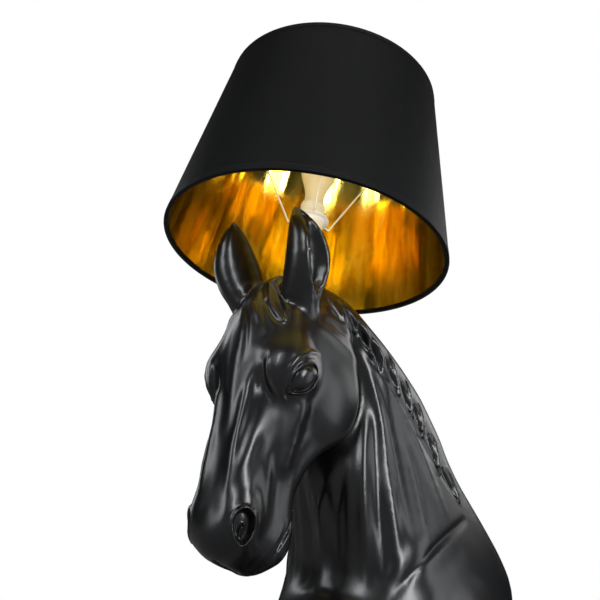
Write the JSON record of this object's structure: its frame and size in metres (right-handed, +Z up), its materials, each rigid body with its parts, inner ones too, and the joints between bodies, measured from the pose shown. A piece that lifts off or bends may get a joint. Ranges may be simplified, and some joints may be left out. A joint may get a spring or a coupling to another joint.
{
  "type": "horse figure table lamp",
  "caption": "Black horse-bust lamp with a tapered black shade, gold lining, screw lampholder, bulb, flexible cord, hand switch and plug.",
  "frame": {"origin": "centre of the flat resting face under the base", "axes": "+Z up; the horse faces -Y and its left side is +X; the lamp axis is vertical, 0.32 m towards -Y from the origin"},
  "size_m": [0.6079, 0.8926, 0.9507],
  "materials": {
    "black_lacquer": "satin black lacquer on cast resin",
    "birch_ply": "plain plywood",
    "black_felt": "felt",
    "zinc_steel": "zinc plated",
    "pine": "sawn",
    "grey_iron": "as cast",
    "chrome_fitting": "polished",
    "white_plastic": "satin moulded",
    "brass_contact": "plain",
    "bulb_metal": "plain",
    "bulb_cream": "satin",
    "bulb_opal": "opal, unlit",
    "white_wire": "white paint",
    "black_cloth": "laminated black cloth",
    "gold_foil": "metallised gold foil, mirror-like",
    "black_trim": "folded cloth tape",
    "black_cord": "matt PVC",
    "black_rubber": "matt moulded",
    "black_plastic": "fine-textured",
    "nickel_pin": "nickel plated"
  },
  "bodies": {
    "root": {"bust_shell": "black_lacquer", "base_board": "birch_ply", "felt_pad": "black_felt", "base_screws": "zinc_steel", "fixing_blocks": "pine", "ballast_disc": "grey_iron", "ballast_screws": "zinc_steel", "head_block": "pine", "stem_tube": "zinc_steel", "stem_nut": "zinc_steel", "stem_washer": "zinc_steel", "seat_cup": "chrome_fitting", "stem_sleeve": "chrome_fitting", "lampholder_cap": "chrome_fitting", "cap_locknut": "zinc_steel", "lampholder_insert": "white_plastic", "terminal_screws": "brass_contact", "contact_shell": "brass_contact", "centre_contact": "brass_contact", "lampholder_skirt": "white_plastic", "lamp_cord": "black_cord", "cord_grommet": "black_rubber", "cord_clip": "white_plastic", "clip_screw": "zinc_steel", "switch_base": "black_plastic", "switch_cover": "black_plastic", "switch_contacts": "brass_contact", "switch_screws": "zinc_steel", "mains_cord": "black_cord", "plug_body": "black_rubber", "plug_pins": "nickel_pin"},
    "shade": {"shade_carrier": "white_wire", "shade_bottom_wire": "white_wire", "shade_skin": "black_cloth", "shade_lining": "gold_foil", "shade_trim_bottom": "black_trim", "shade_trim_top": "black_trim"},
    "nut_carriage": {"slip_washer": "white_plastic"},
    "ring_nut": {"shade_ring_nut": "white_plastic"},
    "bulb_carriage": {"bulb_contact": "bulb_metal"},
    "bulb": {"bulb_cap": "bulb_metal", "bulb_housing": "bulb_cream", "bulb_globe": "bulb_opal"},
    "rocker": {"switch_rocker": "black_plastic"}
  },
  "joints": [
    {"name": "shade_turn", "type": "hinge", "parent": "root", "child": "shade", "pos_m": [0, -0.32, 0.7], "axis": [0, 0, 1], "continuous": true},
    {"name": "nut_lift", "type": "slide", "parent": "root", "child": "nut_carriage", "axis": [0, 0, 1], "range_m": [0, 0.0095]},
    {"name": "nut_turn", "type": "hinge", "parent": "nut_carriage", "child": "ring_nut", "pos_m": [0, -0.32, 0.705], "axis": [0, 0, 1], "range_deg": [0, 720]},
    {"name": "bulb_lift", "type": "slide", "parent": "root", "child": "bulb_carriage", "axis": [0, 0, 1], "range_m": [0, 0.022]},
    {"name": "bulb_turn", "type": "hinge", "parent": "bulb_carriage", "child": "bulb", "pos_m": [0, -0.32, 0.71], "axis": [0, 0, 1], "range_deg": [0, 2160]},
    {"name": "rocker_tilt", "type": "hinge", "parent": "root", "child": "rocker", "pos_m": [0.25, 0.185, 0.0146], "axis": [1, 0, 0], "range_deg": [0, 14]}
  ],
  "couplings": [
    {"joint": "nut_lift", "follows": "nut_turn", "m_per_rad": 0.00073742},
    {"joint": "bulb_lift", "follows": "bulb_turn", "m_per_rad": 0.00057614}
  ]
}
